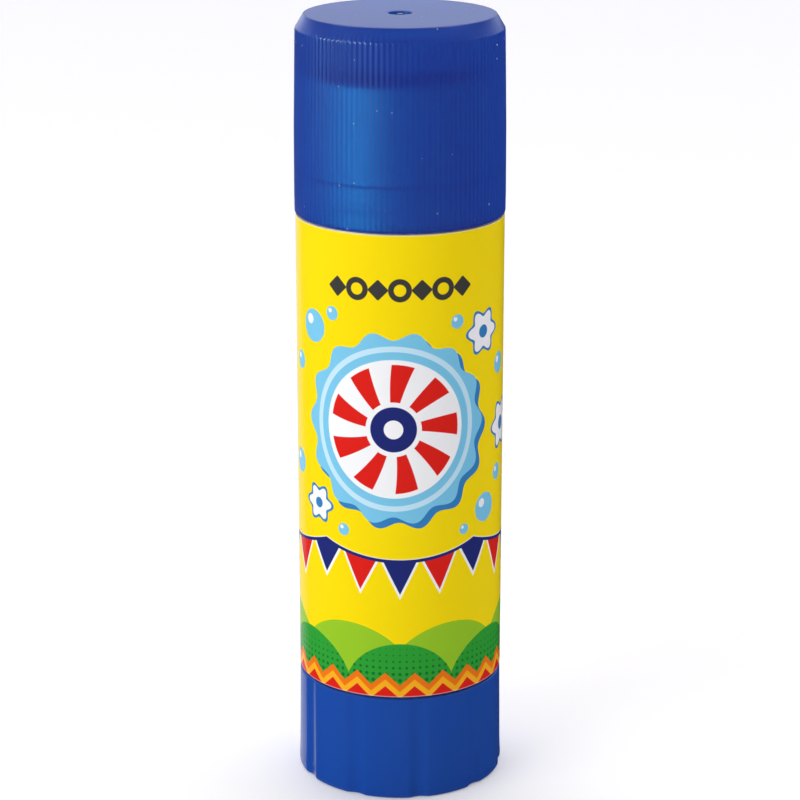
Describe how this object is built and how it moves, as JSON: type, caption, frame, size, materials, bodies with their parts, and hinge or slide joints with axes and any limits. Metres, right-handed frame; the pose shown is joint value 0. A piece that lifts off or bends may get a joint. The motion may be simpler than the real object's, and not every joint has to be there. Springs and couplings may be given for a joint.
{
  "type": "glue stick",
  "caption": "Twist-up glue stick: translucent ribbed push-on cap, labelled barrel, fluted turning knob, and a lead screw that lifts the glue.",
  "frame": {"origin": "centre of the foot ring's plane, on the stick's axis, where the stick stands on its knob", "axes": "+Z along the stick's axis, from the knob up to the cap; -Y is the side that faces the viewer"},
  "size_m": [0.0264, 0.0264, 0.0985],
  "materials": {
    "cap_plastic": "translucent blue polypropylene, glossy, ribbed",
    "knob_plastic": "opaque blue polypropylene, glossy",
    "barrel_plastic": "natural white polypropylene, satin",
    "label_film": null,
    "screw_plastic": "natural white plastic, satin",
    "carrier_plastic": "natural white plastic, satin",
    "glue_paste": "off-white waxy solid glue"
  },
  "bodies": {
    "barrel": {"barrel": "barrel_plastic", "label": "label_film"},
    "knob": {"base_knob": "knob_plastic", "lead_screw": "screw_plastic"},
    "carrier": {"carrier": "carrier_plastic", "glue": "glue_paste"},
    "cap": {"cap": "cap_plastic"}
  },
  "joints": [
    {"name": "knob_turn", "type": "hinge", "parent": "barrel", "child": "knob", "pos_m": [0, 0, 0], "axis": [0, 0, 1], "range_deg": [0, 5940]},
    {"name": "carrier_lift", "type": "slide", "parent": "barrel", "child": "carrier", "axis": [0, 0, 1], "range_m": [0, 0.066]},
    {"name": "cap_pull", "type": "slide", "parent": "carrier", "child": "cap", "axis": [0, 0, 1], "range_m": [0, 0.04]}
  ],
  "couplings": [
    {"joint": "knob_turn", "follows": "carrier_lift", "rad_per_m": 1570.8}
  ]
}
